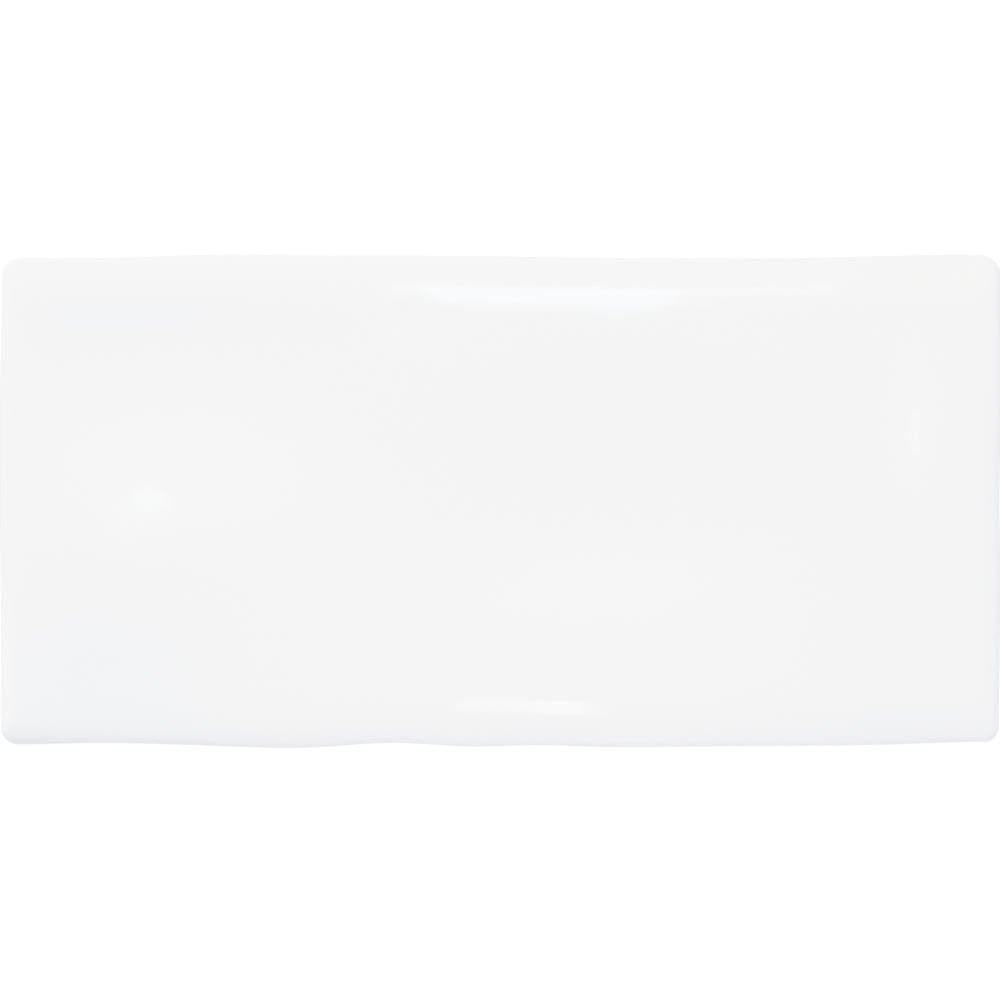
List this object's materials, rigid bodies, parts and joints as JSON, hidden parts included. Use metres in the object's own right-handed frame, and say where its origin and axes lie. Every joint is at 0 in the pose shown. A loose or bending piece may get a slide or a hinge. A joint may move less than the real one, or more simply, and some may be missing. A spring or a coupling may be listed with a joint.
{
  "type": "subway wall tile",
  "caption": "Glazed ceramic wall tile in the 75 x 150 mm subway format, with a soft rim, gently uneven edges and a keyed back.",
  "frame": {"origin": "middle of the tile's back, on the plane that beds against the wall or rests on the floor", "axes": "+X along the tile's length, +Y across it, +Z out of the glazed face"},
  "size_m": [0.1503, 0.0741, 0.0086],
  "materials": {
    "glaze": "gloss"
  },
  "bodies": {
    "root": {"tile": "glaze"}
  },
  "joints": []
}
